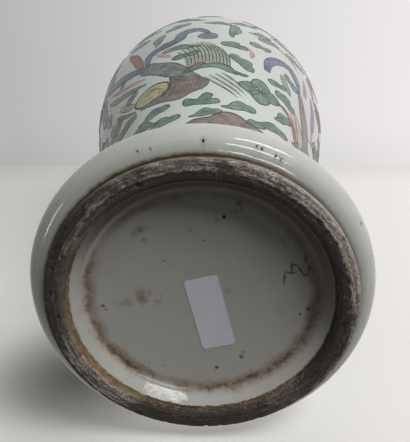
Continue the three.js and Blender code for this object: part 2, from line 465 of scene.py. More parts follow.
def moulding_glaze(m, ragged, pits):
    """The foot's glaze, with pits, specks and a stained lip beside the groove, and painted shade in the
    groove and beside it at the upper left.
    """
    glaze = m.mix(m.noise(0.05, 4.0), (197, 200, 194), (212, 213, 207))
    mottle = m.rise(m.noise(0.24, 4.0, 0.7), 0.52, 0.72)
    glaze = m.mix(mottle * 0.16, glaze, (150, 158, 152))
    glaze = m.mix(m.specks(0.13, 0.08, 0.04) * 0.6, glaze, (88, 80, 66))
    halo = m.most(*(m.pit(angle, z, size * 3.2) * 0.24 for angle, z, size in MOULDING_PITS))
    glaze = m.mix(halo, glaze, (120, 116, 104))
    glaze = m.mix(pits, glaze, (38, 32, 28))
    beside, low = m.radius + ragged * 2.0, m.rise(m.z, 8.0, 7.0)
    lip = m.rise(beside, 69.0, 67.0) * low * m.most(m.towards(350, 56, 26) * 0.7, 0.3)
    glaze = m.mix(lip, glaze, (136, 124, 94))
    # Stain and a painted shadow: darker beside the groove, most at the upper left, where the groove's gap
    # lies in shade.
    groove_shadow_and_stain = m.most(m.towards(326, 56, 24) * 0.85, m.towards(40, 60, 30) * 0.3)
    glaze = m.mix(m.rise(beside, 67.9, 66.8) * low * groove_shadow_and_stain, glaze, (74, 66, 46))
    # Painted shade: the glaze inside the groove is painted dark, as the groove's shadow.
    return m.mix(m.rise(m.z, 5.0, 4.6), glaze, (60, 54, 40))


def foot_finish():
    """The foot: glazed moulding and sunk wall, round a bare ring, ridged and ingrained with grime."""
    m = Finish("foot_finish", IOR=1.5)
    ragged = m.noise(0.3, 5.0, 0.65) - 0.5
    grit = m.noise(1.2, 4.0, 0.7)
    streaks = m.noise(1.0, 5.0, 0.7, m.flat(m.radius * 0.9, m.turn * 14.0, m.z * 0.9))
    pits = m.most(*(m.pit(*pit) for pit in MOULDING_PITS))
    inside = m.rise(m.radius, 58.0, 57.4)
    sunk, soil_and_shade = sunk_glaze(m)
    glaze = m.mix(inside, moulding_glaze(m, ragged, pits), sunk)

    # Where the glaze stops: just under the groove, and in teeth along the inner bevel.
    teeth = ragged + (m.noise(0.9, 3.0, 0.6) - 0.5)
    bare_out = m.rise(m.radius, 58.4, 59.4) * m.rise(m.z, 3.9, 3.3)
    bare_in = m.rise(m.radius, 59.6, 58.8) * m.rise(m.radius + teeth, 56.4, 56.9)
    bare = m.most(bare_out, bare_in)
    base = m.mix(bare, glaze, bare_clay(m, ragged, grit, streaks))
    rim_line = m.between(m.z, 2.6, 3.5, 0.3) * m.rise(m.radius, 65.6, 66.2)
    base = m.mix(rim_line * 0.55, base, (170, 158, 138))
    soiled = inside * m.most(soil_and_shade, m.towards(90, 50, 20))
    rough = m.rise(m.noise(0.1, 3.0), 0.3, 0.7, 0.055, 0.12) + (bare * 0.62 + soiled * 0.4)
    relief = (streaks * 0.5 + grit) * bare
    normal = m.bump(relief, 0.6, m.bump(m.noise(0.3, 3.0, 0.6), 0.075))
    return m.finish(base, rough, m.bump(pits, -0.25, normal))


# The radius of the moulding's face where its pits lie.
PITTED_RADIUS = FOOT_RADIUS + 6.0

# Pits in the glaze of the moulding: degrees from -Y towards +X, height and radius in millimetres.
MOULDING_PITS = (
    (1.2, 6.7, 0.45), (-19.2, 6.7, 0.28), (-15.1, 6.4, 0.22), (17.4, 7.4, 0.34), (19.1, 7.1, 0.4),
    (23.8, 6.7, 0.36), (25.7, 6.4, 0.42), (61.0, 9.5, 0.35), (-83.0, 12.0, 0.4),
    (98.0, 10.5, 0.4), (140.0, 14.0, 0.45), (205.0, 12.0, 0.4))

# Marks on the sunk base: place, radius and softness in millimetres, strength and colour.
BASE_MARKS = (
    (9.5, -38.6, 0.9, 0.5, 0.92, (40, 33, 29)), (6.6, -37.2, 0.9, 0.8, 0.35, (84, 72, 60)),
    (15.5, -44.8, 1.2, 1.2, 0.6, (76, 64, 54)), (16.6, -42.2, 0.7, 0.8, 0.5, (76, 64, 54)),
    (14.3, -41.0, 0.8, 1.0, 0.3, (90, 78, 66)), (-25.0, -32.7, 1.5, 1.6, 0.55, (88, 74, 62)),
    (-27.6, -30.8, 1.3, 1.4, 0.4, (96, 84, 70)), (-23.6, -28.0, 1.0, 1.2, 0.5, (88, 74, 62)),
    (-22.0, -33.5, 1.0, 1.6, 0.3, (100, 88, 76)), (-26.3, 1.0, 2.3, 1.6, 0.6, (124, 94, 70)),
    (-26.6, -2.6, 2.2, 1.8, 0.45, (136, 106, 90)), (-32.6, 2.4, 2.2, 1.8, 0.4, (122, 112, 78)),
    (-19.4, 2.4, 1.2, 1.4, 0.35, (110, 92, 72)), (-22.8, -2.2, 1.2, 1.4, 0.35, (116, 92, 66)),
    (-35.8, 3.8, 1.0, 1.4, 0.3, (110, 92, 66)), (-43.8, 4.6, 0.9, 0.6, 0.75, (66, 52, 46)),
    (-42.6, 6.6, 0.5, 0.5, 0.7, (66, 52, 46)), (46.5, 5.9, 0.9, 0.5, 0.8, (48, 38, 32)),
    (43.2, 8.6, 0.6, 0.4, 0.75, (56, 44, 38)), (17.8, 32.4, 1.0, 0.7, 0.7, (62, 54, 44)),
    (18.5, 29.7, 0.7, 0.6, 0.5, (84, 74, 62)), (6.5, 38.5, 0.9, 0.5, 0.75, (54, 46, 38)),
    (22.4, 40.0, 0.8, 0.8, 0.4, (110, 112, 88)), (-4.5, -32.7, 1.0, 1.2, 0.3, (92, 78, 66)),
    (11.4, -3.5, 1.2, 1.4, 0.3, (110, 96, 80)), (12.5, 55.2, 1.0, 1.0, 0.4, (120, 112, 88)),
    (34.0, -28.0, 0.6, 0.5, 0.4, (70, 60, 50)), (27.0, 43.5, 0.7, 0.8, 0.4, (110, 98, 78)))

# Thin brown scratches on the sunk base: middle, half length and lean in millimetres and degrees.
BASE_SCRATCHES = (
    (35.4, -9.6, 3.2, 91), (37.8, -12.6, 2.4, 6), (38.2, -14.9, 2.1, 79), (39.3, -16.3, 1.6, 20),
    (42.2, -13.4, 2.7, 59), (44.6, -11.5, 1.3, -21), (43.7, -19.4, 2.2, 81), (45.6, -14.5, 1.6, 95))


def base_finish():
    """The sunk glazed base, with the brown line round its edge, the marks it has picked up and painted shade
    towards its top.
    """
    m = Finish("base_finish", IOR=1.5)
    base, soil_and_shade = sunk_glaze(m)
    # Painted shade: the base is darker towards -Y and +X, where the foot's wall shades it from the light.
    painted_top_shade = m.rise(m.x * 0.5 - m.y, -20.0, 60.0, 0.0, 0.42)
    base = m.mix(painted_top_shade, base, (138, 136, 128))
    cloudy = m.rise(m.noise(0.05, 4.0, 0.6), 0.5, 0.75)
    base = m.mix(cloudy * 0.14, base, (150, 140, 122))
    for x, y, size, soft, strength, shade in BASE_MARKS:
        base = m.mix(m.spot(x, y, size, soft) * strength, base, shade)
    for x, y, half, lean in BASE_SCRATCHES:
        scratch = m.spot(x, y, 0.55, 0.4, 0.6, 0.8, half / 0.6, lean)
        base = m.mix(scratch * 0.75, base, (64, 50, 40))
    base = m.mix(m.specks(0.09, 0.06, 0.03) * 0.6, base, (70, 60, 48))
    rough = m.rise(m.noise(0.06, 3.0), 0.3, 0.7, 0.12, 0.24) + soil_and_shade * 0.4
    return m.finish(base, rough, m.bump(m.noise(0.25, 2.0), 0.06))


def paper_finish():
    """A plain white paper label, a little soiled at its edges."""
    m = Finish("paper_finish", Roughness=0.75)
    base = m.mix(m.noise(0.12, 4.0), (222, 222, 236), (238, 238, 246))
    fibres = m.noise(2.2, 4.0, 0.7)
    base = m.mix(m.rise(fibres, 0.55, 0.75) * 0.2, base, (196, 194, 206))
    return m.finish(base, None, m.bump(fibres, 0.03))


# The enamels from the lowest to the highest: where each lies thin and where it pools, how rough it
# is, and its thickness in millimetres.
ENAMELS = {
    "pale_green": ((170, 182, 158), (136, 150, 124), 0.16, 0.05),
    "white": ((226, 230, 226), (214, 220, 214), 0.14, 0.07),
    "red": ((186, 130, 120), (154, 98, 90), 0.3, 0.085),
    "pink": ((206, 172, 168), (184, 140, 134), 0.3, 0.09),
    "teal": ((130, 146, 140), (98, 114, 110), 0.14, 0.09),
    "yellow": ((202, 198, 154), (176, 170, 122), 0.15, 0.10),
    "green": ((120, 156, 134), (76, 116, 92), 0.14, 0.105),
    "aubergine": ((143, 130, 119), (108, 95, 86), 0.16, 0.11),
    "blue": ((110, 123, 156), (68, 82, 114), 0.14, 0.12),
    "line": ((78, 82, 72), (52, 56, 48), 0.3, 0.17)}


def enamel(name):
    """A glassy enamel that pools darker in places, with tiny bubbles and a slightly waved skin."""
    thin, deep, rough, _ = ENAMELS[name]
    m = Finish("enamel_" + name, IOR=1.5)
    base = m.mix(m.rise(m.noise(0.16, 3.0, 0.6), 0.35, 0.65), thin, deep)
    base = m.mix(m.specks(0.9, 0.18, 0.1) * 0.35, base, deep)
    return m.finish(base, m.rise(m.noise(0.3, 2.0), 0.2, 0.8, rough, rough + 0.14),
                    m.bump(m.noise(0.9, 2.0), 0.06))


# The thrown pieces

# The glaze's fillet where the wall meets the foot: out from the foot's radius, up from its top.
FILLET = ((0.4, -0.05), (-0.2, 0.35), (-0.9, 0.75))
INSIDE_CLEARANCE = 0.1

# The foot: the straight part of the ring's side, and how the sunk wall ends under the slab.
RING_SIDE = (1.8, 2.6)
SLAB_OVERLAP = 0.6
SUNK_WALL_GAP = 1.0

# The sunk base's bend into its wall, and its hidden edge: out from the wall's foot, up from the base.
BASE_BEND = ((-3.6, 0.0), (-0.5, 0.0), (2.0, -3.16))
BASE_EDGE = (2.3, -2.6)


def wall_section():
    """The glazed wall: outside, rim and inside, as one closed section."""
    last = OUTLINE[-1]
    out = square_to(OUTLINE, len(OUTLINE) - 1)
    inner = []
    for i, point in enumerate(OUTLINE):
        square = square_to(OUTLINE, i)
        inner.append((point[0] - WALL * square[0], point[1] - WALL * square[1]))
    rim_centre = (last[0] - WALL / 2 * out[0], last[1] - WALL / 2 * out[1])
    rim = arc(rim_centre, WALL / 2, WALL / 2, -MOUTH_FLARE, 180 - MOUTH_FLARE, 18)
    fillet = [(FOOT_RADIUS + out, FOOT_TOP + up) for out, up in FILLET]
    inside = [p for p in reversed(inner[:-1]) if p[1] > FOOT_TOP + INSIDE_CLEARANCE]
    return [(inner[0][0], fillet[0][1])] + fillet + OUTLINE[:-1] + rim + inside


def foot_section():
    """The foot: resting face, bevels, groove, moulding and the sunk wall, as one closed section."""
    resting = run(((REST_IN, 0.0), (REST_OUT, 0.0)), 24)
    edge = arc((REST_OUT, FOOT_EDGE_BEVEL), FOOT_EDGE_BEVEL, FOOT_EDGE_BEVEL, -75, 0, 6)
    side = [(FOOT_RADIUS, z) for z in RING_SIDE]
    groove_z = RING_HEIGHT - GROOVE_RADIUS
    groove = list(reversed(arc((FOOT_RADIUS, groove_z), GROOVE_RADIUS, GROOVE_RADIUS, 90, 270, 10)))
    middle = (FOOT_RADIUS, RING_HEIGHT + MOULDING_HEIGHT / 2)
    moulding = arc(middle, MOULDING_PROJECTION, MOULDING_HEIGHT / 2, -90, 90, 52)
    inner = [(SUNK_RADIUS - SLAB_OVERLAP, z) for z in (FOOT_TOP, RECESS_DEPTH)]
    wall = run(((SUNK_RADIUS, RECESS_DEPTH - SUNK_WALL_GAP), (BEVEL_IN, INNER_BEVEL_HEIGHT)), 10)
    bevel = run(((BEVEL_IN, INNER_BEVEL_HEIGHT), (REST_IN, 0.0)), 8)[1:-1]
    return resting + edge + side + groove + moulding[1:] + inner + wall + bevel


# The bare ring from its inner bevel out, and how far apart its turned ridges are.
WORN_FROM = 57.05
WORN_MIDDLE = 62.4
WORN_HALF_WIDTH = 3.4
RIDGE_PITCH = 2.1


def ring_wear(radius, z, turn):
    """The bare ring is a little rounded, ridged by turning and worn unevenly; the glaze waves gently."""
    way = Vector((cos(turn), sin(turn), 0))
    if z < RING_HEIGHT - 2 * GROOVE_RADIUS and radius > WORN_FROM:
        across = (radius - WORN_MIDDLE) / WORN_HALF_WIDTH
        ridges = 0.07 * (1 + sin(2 * pi * radius / RIDGE_PITCH + 3.0 * noise.noise(way * 1.7)))
        rough = 0.22 * (1 + noise.noise(way * 58 + Vector((0, 0, radius * 1.1 + z))))
        chips = max(0.0, noise.noise(way * 21 + Vector((9, 0, radius * 0.5))) - 0.25) * 1.6
        lift = (0.22 * across ** 2 + ridges + rough + chips) * max(0.0, 1 - z / 4.5)
        return (radius + 0.12 * noise.noise(way * 40 + Vector((0, 5, z))), z + lift)
    if radius > FOOT_RADIUS and z > RING_HEIGHT:
        out = (radius - FOOT_RADIUS) / MOULDING_PROJECTION
        return (radius - out * 0.22 * (1 + noise.noise(way * 2.2 + Vector((0, 0, z * 0.05)))), z)
    return (radius, z)


def base_section():
    """The slab under the sunk base: flat, then curving down to meet the sunk wall."""
    bend = [(SUNK_RADIUS + out, RECESS_DEPTH + up) for out, up in BASE_BEND]
    under = run(((0.0, RECESS_DEPTH), bend[0]), 24) + run(bend, 10)[1:]
    edge, top = SUNK_RADIUS + BASE_EDGE[0], RECESS_DEPTH + SLAB_THICKNESS
    return under + [(edge, RECESS_DEPTH + BASE_EDGE[1]), (edge, top), (0.0, top)]


def paper_label():
    """The label: a thin sheet with rounded corners, not quite flat."""
    half_w, half_h = LABEL_WIDTH / 2, LABEL_HEIGHT / 2
    across, up = 12, 28
    turn = radians(LABEL_TURN)
    points, faces = [], []
    for side in (0, 1):
        for j in range(up + 1):
            for i in range(across + 1):
                u, v = -half_w + LABEL_WIDTH * i / across, -half_h + LABEL_HEIGHT * j / up
                cx = max(abs(u) - (half_w - LABEL_CORNER), 0.0)
                cy = max(abs(v) - (half_h - LABEL_CORNER), 0.0)
                over = hypot(cx, cy) - LABEL_CORNER
                if over > 0:
                    u -= over * cx / hypot(cx, cy) * (1 if u > 0 else -1)
                    v -= over * cy / hypot(cx, cy) * (1 if v > 0 else -1)
                lifted = 0.25 * max(0.0, hypot(u / half_w, v / half_h) - 1.15) ** 1.5
                points.append((LABEL_PLACE[0] + u * cos(turn) + v * sin(turn),
                               LABEL_PLACE[1] + v * cos(turn) - u * sin(turn),
                               RECESS_DEPTH - (LABEL_THICKNESS + lifted if side else 0.01)))
    row = across + 1
    layer = row * (up + 1)
    for side in (0, 1):
        for j in range(up):
            for i in range(across):
                a = side * layer + j * row + i
                ring = [a, a + 1, a + row + 1, a + row]
                faces.append(ring[::-1] if side else ring)
    border = [i for i in range(row)] + [j * row + across for j in range(1, up + 1)]
    border += [up * row + i for i in range(across - 1, -1, -1)] + [j * row for j in range(up - 1, 0, -1)]
    for a, b in zip(border, border[1:] + border[:1]):
        faces.append([a + layer, b + layer, b, a])
    return mesh_piece("bare_label", points, faces, paper_finish(), 50)


# Decoration

# The painting's meshes: spacings and depth in millimetres, then shares of a thickness and a stroke.
GRID = 2.3
STROKE_PITCH = 1.6
LINE_STEP = 1.3
SUNK = -0.06
EDGE_SHARE = 0.4
TAPER_SHARE = 0.25


def taper(share, ends, swell):
    """The share of its width that a stroke has there; its ends narrow, and swell fills its middle."""
    wide = min(1.0, share / TAPER_SHARE) * (1 - ends[0]) + ends[0]
    wide *= min(1.0, (1 - share) / TAPER_SHARE) * (1 - ends[1]) + ends[1]
    return wide * (1 + swell * sin(pi * share))


def heading(line, i, closed=False):
    """The millimetres in a degree at a point of a line, and the line's direction there."""
    a = line[i - 1 if closed or i else i]
    b = line[(i + 1) % len(line) if closed or i + 1 < len(line) else i]
    scale = degree_at(line[i][1])
    along = Vector((((b[0] - a[0] + 180) % 360 - 180) * scale, b[1] - a[1]))
    return scale, along.normalized() if along.length > 1e-9 else Vector((1, 0))


class Layer:
    """Thin closed shapes of one enamel on the glaze. Places are (angle, height) pairs."""

    def __init__(self, thickness):
        self.thickness = thickness
        self.points, self.faces, self.starts = [], [], []

    def patch(self, ring):
        """Fills a closed outline, a little domed."""
        scale = degree_at(sum(z for a, z in ring) / len(ring))
        edge = [Vector((a * scale, z)) for a, z in ring]
        low = [min(p[k] for p in edge) for k in (0, 1)]
        high = [max(p[k] for p in edge) for k in (0, 1)]
        loose = []
        for j in range(1, int((high[1] - low[1]) / GRID) + 1):
            for i in range(int((high[0] - low[0]) / GRID) + 1):
                spot = Vector((low[0] + (i + 0.5 * (j % 2)) * GRID, low[1] + (j - 0.4) * GRID))
                if min((spot - p).length_squared for p in edge) > (0.45 * GRID) ** 2:
                    loose.append(spot)
        links = [(i, (i + 1) % len(edge)) for i in range(len(edge))]
        found = geometry.delaunay_2d_cdt(edge + loose, links, [], 1, 1e-5)
        spots, triangles, origins = found[0], found[2], found[3]
        first, count = len(self.points), len(spots)
        self.starts.append((first, len(self.faces)))
        domed = [self.thickness * (EDGE_SHARE if any(i < len(edge) for i in origin) else 1.0)
                 for origin in origins]
        for lifts in (domed, [SUNK] * count):
            self.points += [glaze_at(spot[0] / scale, spot[1], lift) for spot, lift in zip(spots, lifts)]
        sides = {}
        for face in triangles:
            a, b, c = (spots[i] for i in face)
            if (b - a).cross(c - a) < 0:
                face = face[::-1]
            self.faces.append([first + i for i in face])
            self.faces.append([first + count + i for i in reversed(face)])
            for i, j in zip(face, face[1:] + face[:1]):
                if sides.pop((j, i), None) is None:
                    sides[(i, j)] = True
        for i, j in sides:
            self.faces.append([first + count + i, first + count + j, first + j, first + i])

    def stroke(self, line, width, closed=False, ends=(0.3, 0.3), swell=0.0):
        """A painted line; its ends narrow to a share of the width, and swell fills its middle."""
        steps = max(2, ceil(width / STROKE_PITCH))
        first, rows = len(self.points), steps + 3
        self.starts.append((first, len(self.faces)))
        for i, (angle, z) in enumerate(line):
            scale, along = heading(line, i, closed)
            half = width / 2 if closed else width / 2 * taper(i / (len(line) - 1), ends, swell)
            for k in range(rows):
                inner = max(-1.0, min(1.0, (k - 1) / steps * 2 - 1))
                lift = SUNK if k in (0, rows - 1) else self.thickness * (1 - 0.5 * inner ** 4)
                du, dv = -along.y * half * inner, along.x * half * inner
                self.points.append(glaze_at(angle + du / scale, z + dv, lift))
        spans = len(line) if closed else len(line) - 1
        for i in range(spans):
            here, there = first + i * rows, first + (i + 1) % len(line) * rows
            for k in range(rows):
                m = (k + 1) % rows
                self.faces.append([here + k, there + k, there + m, here + m])
        if not closed:
            self.faces.append([first + k for k in range(rows)])
            self.faces.append([first + spans * rows + k for k in reversed(range(rows))])

    def part(self, low, high, within=True):
        """A layer of the shapes that start between two heights, or of those that don't."""
        part = Layer(self.thickness)
        ends = self.starts[1:] + [(len(self.points), len(self.faces))]
        for (first, face), (end, face_end) in zip(self.starts, ends):
            if (low < self.points[first][2] < high) == within:
                shift = len(part.points) - first
                part.points += self.points[first:end]
                part.faces += [[i + shift for i in corners] for corners in self.faces[face:face_end]]
        return part

    def build(self, name, material):
        piece = mesh_piece(name, self.points, self.faces, material, 60)
        return own(piece, "enamelled_glaze")


LAYERS = {name: Layer(row[-1]) for name, row in ENAMELS.items()}
HAND = random.Random(SEED)


def flow(points, closed=False, wobble=0.0):
    """A smooth line through places on the glaze, which a shaking hand may miss a little."""
    scale = degree_at(sum(p[1] for p in points) / len(points))
    knots = [Vector((a * scale, z)) for a, z in points]
    if wobble:
        knots = [k + Vector((HAND.uniform(-wobble, wobble), HAND.uniform(-wobble, wobble))) for k in knots]
    count = len(knots)
    found = []
    for i in range(count if closed else count - 1):
        if closed:
            a, b, c, d = (knots[(i + k) % count] for k in (-1, 0, 1, 2))
        else:
            b, c = knots[i], knots[i + 1]
            a = knots[i - 1] if i else b * 2 - c
            d = knots[i + 2] if i + 2 < count else c * 2 - b
        pieces = max(1, ceil((c - b).length / LINE_STEP))
        for k in range(pieces):
            t = k / pieces
            spot = (b * 2 + (c - a) * t + (a * 2 - b * 5 + c * 4 - d) * t * t
                    + (b * 3 - a - c * 3 + d) * t ** 3) / 2
            found.append((spot.x / scale, spot.y))
    if not closed:
        found.append((knots[-1].x / scale, knots[-1].y))
    return found


def draw(points, width, fill="line", **how):
    """A painted line through places."""
    LAYERS[fill].stroke(flow(points), width, **how)


class Site:
    """A place on the vase to paint at, with its own size, lean and side."""

    def __init__(self, angle, z, lean=0.0, flip=1):
        self.angle, self.z, self.lean, self.flip = angle, z, radians(lean), flip

    def place(self, u, v):
        """Millimetres from the middle of the site, as an (angle, height) pair."""
        u, v = u * cos(self.lean) - v * sin(self.lean), u * sin(self.lean) + v * cos(self.lean)
        z = self.z + v
        return (self.angle + self.flip * degrees(u / radius_at(z)), z)

    def line(self, points, across=1.0, up=1.0, closed=False, wobble=0.0):
        return flow([self.place(u * across, v * up) for u, v in points], closed=closed, wobble=wobble)


# Outlines of the painted clouds and leaves, in hundredths of their length and height.
CLOUDS = (
    ((-50, -20), (-41, 8), (-23, 10), (-14, 38), (8, 50), (24, 30), (41, 26), (50, -4), (38, -36),
     (8, -40), (-20, -50), (-41, -44)),
    ((-50, -34), (-30, -14), (-16, 20), (4, 46), (22, 34), (40, 30), (50, 2), (38, -28), (14, -34),
     (-10, -50), (-32, -46)),
    ((-50, -16), (-44, 18), (-24, 8), (-6, 2), (2, 34), (20, 56), (36, 38), (30, 8), (48, 2),
     (50, -30), (18, -46), (-16, -46), (-42, -44)),
    ((-50, 6), (-34, 30), (-8, 34), (16, 24), (34, 44), (50, 30), (44, -4), (26, -30), (0, -26),
     (-22, -44), (-44, -30)),
)
CLOUD_LINES = (
    ((-30, -18), (-8, -2), (12, 14), (26, 4), (20, -12)),
    ((-26, -20), (-4, 0), (18, 8), (34, -4)),
    ((-34, -20), (-10, -22), (12, -14), (20, 14), (14, 30)),
    ((-32, 0), (-12, 6), (10, -6), (28, 6), (36, 20)),
)
CLOUD_GROWTH = 1.14


def filled(ring, fill, line_width):
    """A shape filled with an enamel, with a dark outline."""
    LAYERS[fill].patch(ring)
    LAYERS["line"].stroke(ring, line_width, closed=True)


def cloud(angle, z, length, height, lean=0.0, kind=0, flip=1, fill="green"):
    """A curling cloud or leaf with a dark outline and a darker line inside."""
    site = Site(angle, z, lean, flip)
    across, up = length * CLOUD_GROWTH / 100, height * CLOUD_GROWTH / 100
    ring = site.line(CLOUDS[kind], across, up, closed=True, wobble=min(length, height) * 0.035)
    filled(ring, fill, 0.75)
    LAYERS["line"].stroke(site.line(CLOUD_LINES[kind], across, up, wobble=0.3), 0.8)


def ribbon(points, width, fill, outlined=True, ends=(0.35, 0.35), swell=0.2):
    """A broad painted ribbon or plume, with dark edges unless it has none."""
    line = flow(points)
    LAYERS[fill].stroke(line, width, ends=ends, swell=swell)
    for side in (-1, 1) if outlined else ():
        edge = []
        for i, (angle, z) in enumerate(line):
            scale, along = heading(line, i)
            reach = side * width / 2 * taper(i / (len(line) - 1), ends, swell)
            edge.append((angle - along.y * reach / scale, z + along.x * reach))
        LAYERS["line"].stroke(edge, 0.6)


def painted(ring, fill, line_width=0.7, wobble=0.0):
    """A filled shape through places, with a dark outline."""
    filled(flow(ring, closed=True, wobble=wobble), fill, line_width)


def at(middle, side, points):
    """Places given from the middle of a scene, on the vase."""
    return [(middle + side * a, z) for a, z in points]


# The phoenix's plumes, head and neck, and then the loose ribbons beside it: the places, the width,
# the enamel, and where they aren't the usual ones, whether it has dark edges and its ends' shares.
PLUMES = (
    (((-31, 186), (-30.5, 200), (-27, 207), (-19, 209), (-14, 214), (-12, 223), (-6, 227), (-1, 222),
      (0, 214)), 7.2, "blue"),
    (((-32, 184), (-38, 192), (-44, 199), (-50, 206), (-56, 214), (-62, 226), (-66, 240)),
     7.5, "blue"),
    (((-34, 188), (-36, 203), (-38, 218), (-42, 238)), 5.5, "red"),
    (((-26, 201), (-23, 195), (-18, 186)), 4.0, "pink", False),
    (((-33, 172), (-40, 178), (-46, 184), (-52, 192), (-57, 202)), 3.6, "pink", False),
    (((-33, 164), (-40, 168), (-47, 174), (-54, 182), (-60, 194)), 4.4, "green"),
    (((-40, 146), (-44, 150), (-48, 156), (-52, 164)), 4.6, "yellow"),
    (((-41, 138), (-46, 142), (-51, 149), (-56, 158)), 2.4, "red"))
LOOSE_RIBBONS = (
    (((31, 180), (31, 192), (34, 203), (39, 210), (44, 212), (48, 206), (51, 198), (53, 188)),
     6.5, "blue", True, (0.7, 0.3)),
    (((53, 190), (56, 180), (60, 168), (64, 156), (68, 142), (71, 124), (73, 104)),
     8.0, "aubergine", True, (0.6, 0.8)),
    (((54, 222), (56, 210), (57, 198), (55, 206)), 4.5, "pink", False),
    (((62, 212), (66, 200), (69, 186), (71, 172)), 6.0, "blue", False),
    (((66, 186), (70, 174), (74, 160)), 3.5, "pink", False),
    (((39, 147), (44, 148), (50, 144), (55, 136), (58, 124)), 3.0, "red"),
    (((52, 158), (57, 150), (61, 140), (64, 126), (66, 110)), 6.0, "yellow", True, (0.3, 0.7)),
    (((46, 158), (51, 150), (56, 142), (59, 130)), 2.4, "pink", False),
    (((31, 235), (38, 234), (44, 231), (50, 225)), 4.0, "pink", False),
    (((39, 190), (43, 180), (47, 172)), 4.5, "pale_green"),
    (((20, 202), (22, 195), (22, 188)), 3.5, "pink", False),
    (((58, 236), (63, 226), (67, 214)), 4.0, "red", False))


def phoenix(middle, side):
    """A phoenix in flight, all but its plumes: body, breast, fanned wing and streaming tail."""
    def put(*points):
        return at(middle, side, points)

    painted(put((-35, 190), (-30, 191), (-24, 183), (-17, 176), (-11, 166), (-7, 156), (-3, 149),
                (-9, 146), (-15, 150), (-19, 157), (-24, 164), (-30, 174), (-35, 181)), "teal")
    painted(put((-19, 157), (-12, 152), (-5, 150), (1, 144), (-1, 136), (-8, 130), (-15, 125),
                (-23, 128), (-30, 131), (-38, 135), (-30, 137), (-22, 138), (-19, 146)), "aubergine")
    painted(put((-41, 146), (-36, 153), (-28, 156), (-21, 152), (-20, 145), (-23, 139), (-30, 136),
                (-38, 138)), "yellow", 1.5)
    for k in range(3):
        draw(put((-38 + 3 * k, 146 - k), (-32 + 2 * k, 151 - k), (-25 + k, 149 - 2 * k)), 0.7)

    # Scales on the body, as short curved strokes.
    for row in range(9):
        for k in range(3):
            a, z = -31 + 3.1 * row + (k - 1) * 2.6, 185 - 5.0 * row + (k - 1) * 3.6
            draw(put((a - 1.4, z), (a, z - 2.2), (a + 1.5, z - 0.6)), 0.6)
    for k in range(12):
        a = -28 + 2.3 * k
        draw(put((a, 134 - 0.25 * k), (a + 2, 140 - 0.1 * k), (a + 3, 145 + 0.1 * k)), 0.6)

    # The wing: a green shoulder with feathers fanned above it.
    painted(put((-11, 161), (-5, 165), (3, 168), (10, 167), (15, 159), (11, 158), (5, 162), (-3, 161),
                (-9, 157)), "green", 1.0)
    feathers = 13
    for k in range(feathers):
        share = k / (feathers - 1)
        foot = (-10 + 21 * share, 164 + 5 * sin(pi * share))
        tip = (-15 + 21 * share, 178 + 24 * sin(pi * (0.18 + 0.62 * share)))
        bend = ((foot[0] + tip[0]) / 2 + 1.5, (foot[1] + tip[1]) / 2)
        draw(put(foot, bend, tip), 1.7, "pale_green", ends=(0.6, 0.3))
        draw(put(*((a + 0.8, z) for a, z in (foot, bend, tip))), 0.75, ends=(0.8, 0.3))
    painted(put((-12, 158), (-9, 164), (-5, 168), (-1, 169), (-3, 164), (-7, 159)), "red", 0.6)

    # Streaming tail feathers.
    for k in range(4):
        a, z = -2 + 3.2 * k, 150 + 2.2 * k
        draw(put((a, z), (a + 8, z - 9), (a + 18 - k, z - 20 + k)), 1.6, "pale_green")
        draw(put((a, z - 1.6), (a + 8, z - 10.6), (a + 19 - k, z - 22 + k)), 0.8)
    painted(put((-5, 212), (-1, 219), (4, 216), (4, 209), (-1, 207)), "teal")


def flower(angle, z, size, fill="green", heart="yellow", petals=4, lean=0.0):
    """A flower of pointed petals round a heart."""
    for k in range(petals):
        site = Site(angle, z, lean + 360 * k / petals)
        ring = site.line(((6, -14), (26, -32), (56, -22), (70, 0), (56, 22), (26, 32), (6, 14)),
                         size / 100, size / 100, closed=True, wobble=size * 0.012)
        filled(ring, fill, 0.5 + size * 0.022)
    ring = Site(angle, z).line([(15 * cos(2 * pi * k / 8), 15 * sin(2 * pi * k / 8)) for k in range(8)],
                               size / 100, size / 100, closed=True)
    LAYERS[heart].stroke(ring, size * 0.1, closed=True)


# The clouds of the painted front: angle, height, length, height of the shape, lean, shape, side.
FRONT_CLOUDS = (
    (-30, 120, 19, 9, 0, 1, 1), (-3, 121, 18, 12, 2, 2, 1), (18, 118.5, 19, 10, 8, 1, 1),
    (0, 105.5, 17, 8, 8, 1, 1), (39, 114, 24, 8, 16, 1, 1), (45, 160, 17, 10, 4, 0, -1),
    (45, 135, 16, 9, 34, 1, 1), (38.5, 171.5, 15, 7, 22, 3, 1), (18, 177, 20, 10, -52, 0, 1),
    (13, 201, 17, 9, -4, 0, -1), (26, 214, 15, 9, 2, 3, 1), (13, 229, 26, 9, 84, 1, -1),
    (-13, 198, 24, 8, 0, 1, -1), (-11, 183, 16, 8, 4, 3, 1), (-44, 160, 13, 7, 34, 0, 1),
    (-49, 132, 16, 10, 10, 1, 1), (-24, 104, 17, 9, -18, 0, -1), (46, 191, 14, 9, 20, 3, -1),
    (17, 159, 9, 5, -6, 3, 1), (-25, 226, 17, 9, 60, 1, 1), (-62, 148, 20, 10, 44, 2, 1),
    (-47, 196, 10, 5, 36, 0, 1), (-63, 174, 20, 9, 64, 1, -1), (62, 128, 18, 8, 24, 1, 1),
    (30, 235, 17, 9, 20, 0, 1), (-66, 205, 20, 10, 60, 3, 1), (60, 236, 18, 9, 100, 1, 1),
    (-57, 143, 14, 7, 40, 1, 1), (-58, 128, 17, 8, 40, 1, 1), (-68, 190, 18, 9, 70, 0, 1),
    (-69, 222, 18, 9, 60, 2, 1), (-36, 111, 16, 8, 6, 1, -1),
    (76, 140, 17, 8, 20, 2, -1), (-74, 130, 18, 9, 30, 3, 1), (-72, 158, 18, 9, 60, 0, -1),
    (-58, 226, 19, 10, 50, 1, 1), (-60, 112, 15, 7, -20, 1, -1), (27, 104, 16, 8, 30, 1, 1),
    (52, 104, 14, 8, 30, 0, 1), (-22, 211, 10, 6, 20, 1, 1),
)


